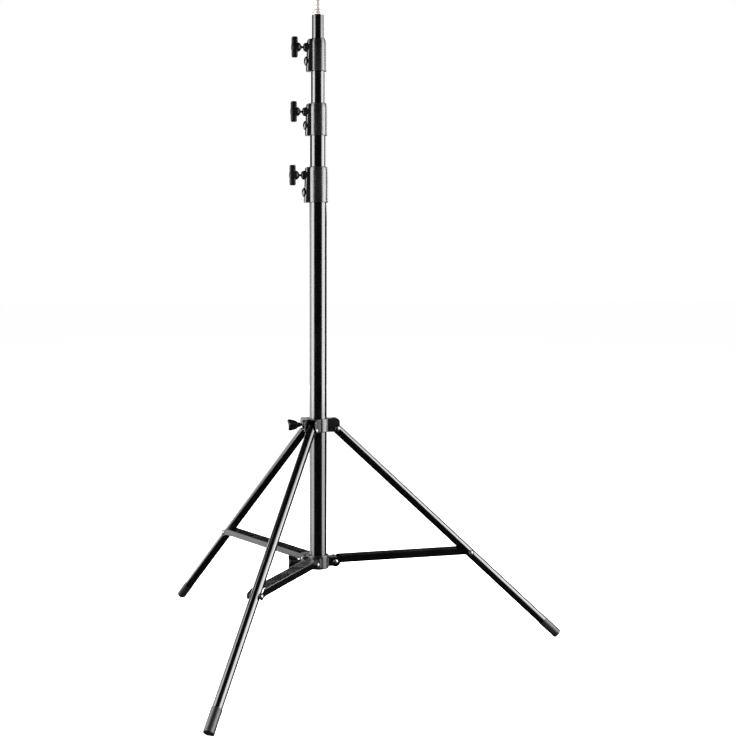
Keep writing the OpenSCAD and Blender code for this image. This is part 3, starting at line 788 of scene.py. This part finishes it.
# Name, middle and spread in degrees round the column from the camera, lower and upper height,
# radiance and distance.
SOFTBOXES = [
    ("left_softbox_low", -77, 42, -0.3, 0.26, 9.0, 1.9),
    ("left_softbox", -77, 42, 0.26, 1.6, 16.0, 1.9),
    ("left_softbox_high", -77, 42, 1.6, 2.9, 10.0, 1.9),
    ("right_softbox_low", 76, 46, -0.3, 0.26, 9.0, 1.9),
    ("right_softbox", 76, 46, 0.26, 1.6, 17.0, 1.9),
    ("right_softbox_high", 76, 46, 1.6, 2.9, 10.0, 1.9),
    ("left_fill", -125, 50, -0.3, 1.05, 3.2, 1.9),
    ("right_back_fill", 142, 32, 1.0, 2.3, 5.0, 1.9),
    ("backdrop_glow", 180, 40, 0.0, 1.1, 2.0, 6.0),
]


def glowing_floor():
    """Matt white painted floor with a little light of its own, so that no horizon shows."""
    material, tree = blank("pale_floor")
    surface = add(tree, "ShaderNodeBsdfPrincipled", {
        "Base Color": linear("#f4f4f4"), "Roughness": 0.9, "Specular IOR Level": 0.0,
        "Emission Color": linear("#ffffff"), "Emission Strength": FLOOR_GLOW,
    })
    add(tree, "ShaderNodeOutputMaterial", {}, {"Surface": surface.outputs[0]})
    return material


floor_mesh = bpy.data.meshes.new("studio_floor")
floor_corners = [(-FLOOR_HALF, -FLOOR_HALF, 0), (FLOOR_HALF, -FLOOR_HALF, 0),
                 (FLOOR_HALF, FLOOR_HALF, 0), (-FLOOR_HALF, FLOOR_HALF, 0)]
floor_mesh.from_pydata(floor_corners, [], [(0, 1, 2, 3)])
floor_mesh.materials.append(glowing_floor())
floor = bpy.data.objects.new("studio_floor", floor_mesh)
bpy.context.scene.collection.objects.link(floor)
floor.visible_glossy = False
floor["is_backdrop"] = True


def softbox(name, azimuth, spread, low, high, radiance, distance):
    """A soft light between two heights, facing the column.

    azimuth is its middle and spread its width, in degrees round the column from the camera.
    """
    a = CAMERA_TOWARDS + math.radians(azimuth)
    light = bpy.data.lights.new(name, "AREA")
    light.shape = "RECTANGLE"
    light.size = 2 * distance * math.tan(math.radians(spread / 2))
    light.size_y = high - low
    light.energy = radiance * math.pi * light.size * light.size_y
    lamp = bpy.data.objects.new(name, light)
    back = np.array([math.cos(a), math.sin(a), 0.0])
    middle = distance * back + np.array([0, 0, (low + high) / 2])
    lamp.matrix_world = Matrix(np.vstack([
        np.stack([np.cross((0, 0, 1), back), (0, 0, 1), back, middle], axis=1), [0, 0, 0, 1]
    ]).tolist())
    lamp.visible_camera = False
    bpy.context.scene.collection.objects.link(lamp)


for values in SOFTBOXES:
    softbox(*values)

world = bpy.data.worlds.new("white_studio")
bpy.context.scene.world = world
world.use_nodes = True
sky = world.node_tree
sky.nodes.clear()
ray = add(sky, "ShaderNodeLightPath").outputs["Is Camera Ray"]
level = add(sky, "ShaderNodeMix", {"data_type": "FLOAT", 2: WORLD_REFLECTED, 3: WORLD_SEEN},
            {0: ray}).outputs[0]
lit = add(sky, "ShaderNodeBackground", {"Color": linear("#ffffff")}, {"Strength": level})
add(sky, "ShaderNodeOutputWorld", {}, {"Surface": lit.outputs[0]})
bpy.context.scene.view_settings.view_transform = "Standard"

camera_data = bpy.data.cameras.new("camera")
camera_data.lens = CAMERA_LENS_MM
camera_data.sensor_width = SENSOR_WIDTH_MM
camera_data.shift_x = CAMERA_SHIFT_X
camera = bpy.data.objects.new("camera", camera_data)
camera.location = CAMERA_PLACE
camera.rotation_euler = (math.pi / 2 - CAMERA_DOWN, 0, -CAMERA_RIGHT)
bpy.context.scene.collection.objects.link(camera)
bpy.context.scene.camera = camera

low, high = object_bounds()
